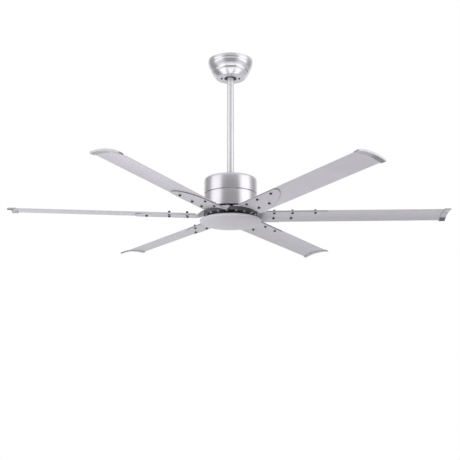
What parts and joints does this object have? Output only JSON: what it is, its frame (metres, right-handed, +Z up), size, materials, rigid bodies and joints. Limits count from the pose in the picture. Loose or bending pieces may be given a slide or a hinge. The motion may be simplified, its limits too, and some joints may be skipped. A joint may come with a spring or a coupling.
{
  "type": "ceiling fan",
  "caption": "Silver ceiling fan: stepped canopy, downrod, drum motor housing, arched blades on swept brackets, shallow bottom cover.",
  "frame": {"origin": "centre of the hanger bracket's top face, on the ceiling and on the rod's axis", "axes": "+Z up into the ceiling, +X to the right and -Y to the front, as the picture sees it"},
  "size_m": [1.6532, 1.509, 0.6685],
  "materials": {
    "zinc_steel": "bright zinc-plated sheet and bar steel",
    "canopy_silver": "brushed nickel plating on spun steel",
    "rod_silver": "brushed nickel plating on steel pipe",
    "housing_silver": "brushed nickel plating on drawn steel",
    "painted_silver": "satin silver powder coat",
    "blade_silver": "satin silver powder coat on extruded aluminium",
    "cap_silver": "glossy silver moulded plastic",
    "dark_casting": "black coat on die-cast aluminium",
    "black_steel": "black oxide screws",
    "black_plastic": "black moulded nylon",
    "circuit_board": "green laminate with solder mask",
    "electrical_steel": "dull electrical steel",
    "copper_winding": "enamelled copper wire",
    "bearing_steel": "ground bearing steel",
    "ferrite": "sintered ferrite"
  },
  "bodies": {
    "ceiling_mount": {"hanger_bracket": "zinc_steel", "canopy": "canopy_silver", "canopy_screw_left": "black_steel", "canopy_screw_right": "black_steel"},
    "suspension": {"hanger_ball": "black_plastic", "ball_pin": "zinc_steel", "downrod": "rod_silver", "rod_pin": "zinc_steel", "rod_pin_clip": "zinc_steel", "rod_coupling": "dark_casting", "set_screw_front": "black_steel", "set_screw_back": "black_steel", "motor_shaft": "zinc_steel", "lower_spacer": "zinc_steel", "housing_upper": "housing_silver", "housing_lower": "housing_silver", "driver_tray": "black_plastic", "driver_board": "circuit_board", "stator_core": "electrical_steel", "stator_winding": "copper_winding", "cover_plate": "zinc_steel", "cover_nut": "zinc_steel", "bottom_cover": "painted_silver"},
    "rotor": {"upper_bearing": "bearing_steel", "lower_bearing": "bearing_steel", "rotor_bell": "electrical_steel", "magnet_ring": "ferrite", "hub_ring": "dark_casting", "blade_bracket_1": "painted_silver", "blade_1": "blade_silver", "blade_cap_1": "cap_silver", "blade_bracket_2": "painted_silver", "blade_2": "blade_silver", "blade_cap_2": "cap_silver", "blade_bracket_3": "painted_silver", "blade_3": "blade_silver", "blade_cap_3": "cap_silver", "blade_bracket_4": "painted_silver", "blade_4": "blade_silver", "blade_cap_4": "cap_silver", "blade_bracket_5": "painted_silver", "blade_5": "blade_silver", "blade_cap_5": "cap_silver", "blade_bracket_6": "painted_silver", "blade_6": "blade_silver", "blade_cap_6": "cap_silver"}
  },
  "joints": [
    {"name": "ball_tilt", "type": "hinge", "parent": "ceiling_mount", "child": "suspension", "pos_m": [0, 0, -0.0523], "axis": [1, 0, 0], "range_deg": [-18, 18]},
    {"name": "rotor_spin", "type": "hinge", "parent": "suspension", "child": "rotor", "pos_m": [0, 0, -0.6283], "axis": [0, 0, -1], "continuous": true}
  ]
}
